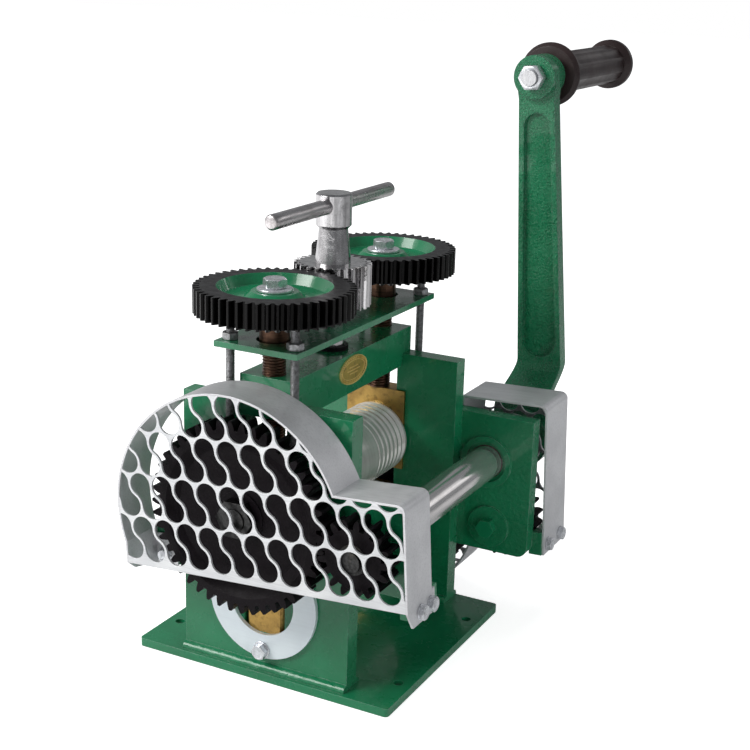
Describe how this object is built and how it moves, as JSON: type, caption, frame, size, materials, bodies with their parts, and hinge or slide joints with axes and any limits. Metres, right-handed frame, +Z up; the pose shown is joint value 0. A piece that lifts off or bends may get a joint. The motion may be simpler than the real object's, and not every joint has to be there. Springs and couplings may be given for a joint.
{
  "type": "jewellers rolling mill",
  "caption": "Bench rolling mill with a hand crank, two steel rolls with wire grooves, guarded gear trains and a geared screw-down turned by a cross rod",
  "frame": {"origin": "centre of the base plate's underside, at the middle of its four holes", "axes": "+X across the rolls (feed direction), +Y along the rolls from the front gear guard to the crank, +Z up"},
  "size_m": [0.2355, 0.498, 0.4184],
  "materials": {
    "green_paint": "gloss",
    "hammered_green": "gloss",
    "bearing_brass": "satin",
    "badge_brass": "satin",
    "zinc_sheet": "satin",
    "bright_fasteners": "satin",
    "black_iron": "matte",
    "gear_black": "satin",
    "roll_steel": "satin",
    "dark_steel": "satin",
    "pinion_chrome": "gloss",
    "grip_plastic": "matte"
  },
  "bodies": {
    "frame": {"base_plate": "green_paint", "front_frame_plate": "green_paint", "rear_frame_plate": "green_paint", "top_beam": "green_paint", "badge": "badge_brass", "lower_bearing_front": "bearing_brass", "lower_bearing_rear": "bearing_brass", "ring_cover": "zinc_sheet", "ring_bolt": "bright_fasteners", "front_bracket": "green_paint", "rear_bracket": "green_paint", "front_bush": "bearing_brass", "rear_bush": "bearing_brass", "idler_bolt": "black_iron", "front_guard_face": "zinc_sheet", "front_guard_band": "zinc_sheet", "rear_guard_face": "zinc_sheet", "rear_guard_band": "zinc_sheet", "guard_arm": "green_paint", "guard_bolts": "bright_fasteners", "column_ring": "black_iron"},
    "lower_roll_set": {"lower_roll": "roll_steel", "lower_roll_spacer": "black_iron", "lower_roll_gear": "black_iron", "lower_gear_nut": "bright_fasteners"},
    "carriage": {"upper_bearing_front": "bearing_brass", "upper_bearing_rear": "bearing_brass", "front_stud_yoke": "dark_steel", "rear_stud_yoke": "dark_steel", "studs": "bright_fasteners", "stud_nuts": "bright_fasteners", "top_plate": "green_paint"},
    "roll_collar": {"upper_roll_spacer": "black_iron"},
    "upper_roll_set": {"upper_roll": "roll_steel", "upper_roll_gear": "black_iron", "upper_gear_nut": "bright_fasteners"},
    "front_screw_set": {"front_pressure_screw": "dark_steel", "front_side_gear": "gear_black", "front_gear_bolt": "bright_fasteners"},
    "rear_screw_set": {"rear_pressure_screw": "dark_steel", "rear_side_gear": "gear_black", "rear_gear_bolt": "bright_fasteners"},
    "adjuster": {"adjusting_pinion": "pinion_chrome", "tee_rod": "roll_steel"},
    "crank": {"countershaft": "roll_steel", "front_pinion": "black_iron", "rear_pinion": "black_iron", "crank_arm": "hammered_green", "crank_nut": "bright_fasteners", "grip_spindle": "bright_fasteners"},
    "grip": {"handle_grip": "grip_plastic"},
    "idler": {"idler_gear": "black_iron"}
  },
  "joints": [
    {"name": "crank_spin", "type": "hinge", "parent": "frame", "child": "crank", "pos_m": [0.08621, 0.002, 0.1205], "axis": [0, 1, 0], "continuous": true},
    {"name": "grip_spin", "type": "hinge", "parent": "crank", "child": "grip", "pos_m": [0.06603, 0.29, 0.39396], "axis": [0, 1, 0], "continuous": true},
    {"name": "lower_roll_spin", "type": "hinge", "parent": "frame", "child": "lower_roll_set", "pos_m": [0, 0.002, 0.067], "axis": [0, 1, 0], "continuous": true},
    {"name": "idler_spin", "type": "hinge", "parent": "frame", "child": "idler", "pos_m": [0.09071, 0.002, 0.06982], "axis": [0, 1, 0], "continuous": true},
    {"name": "adjuster_turn", "type": "hinge", "parent": "frame", "child": "adjuster", "pos_m": [0, 0.002, 0.262], "axis": [0, 0, 1], "range_deg": [-1470, 2498]},
    {"name": "carriage_lift", "type": "slide", "parent": "frame", "child": "carriage", "axis": [0, 0, 1], "range_m": [-0.0068, 0.004]},
    {"name": "front_screw_turn", "type": "hinge", "parent": "carriage", "child": "front_screw_set", "pos_m": [0, -0.074, 0.266], "axis": [0, 0, 1], "range_deg": [-1225, 721]},
    {"name": "rear_screw_turn", "type": "hinge", "parent": "carriage", "child": "rear_screw_set", "pos_m": [0, 0.078, 0.266], "axis": [0, 0, 1], "range_deg": [-1225, 721]},
    {"name": "upper_roll_walk", "type": "hinge", "parent": "carriage", "child": "roll_collar", "pos_m": [0, 0.002, 0.129], "axis": [0, 1, 0], "range_deg": [-6.2, 3.7]},
    {"name": "upper_roll_spin", "type": "hinge", "parent": "roll_collar", "child": "upper_roll_set", "pos_m": [0, 0.002, 0.129], "axis": [0, 1, 0], "continuous": true}
  ],
  "couplings": [
    {"joint": "lower_roll_spin", "follows": "crank_spin", "ratio": 0.36957},
    {"joint": "upper_roll_spin", "follows": "crank_spin", "ratio": -0.36957},
    {"joint": "idler_spin", "follows": "crank_spin", "ratio": -0.85},
    {"joint": "front_screw_turn", "follows": "carriage_lift", "rad_per_m": 3141.6},
    {"joint": "rear_screw_turn", "follows": "carriage_lift", "rad_per_m": 3141.6},
    {"joint": "adjuster_turn", "follows": "carriage_lift", "rad_per_m": -6408.8},
    {"joint": "upper_roll_walk", "follows": "carriage_lift", "rad_per_m": 15.734}
  ]
}
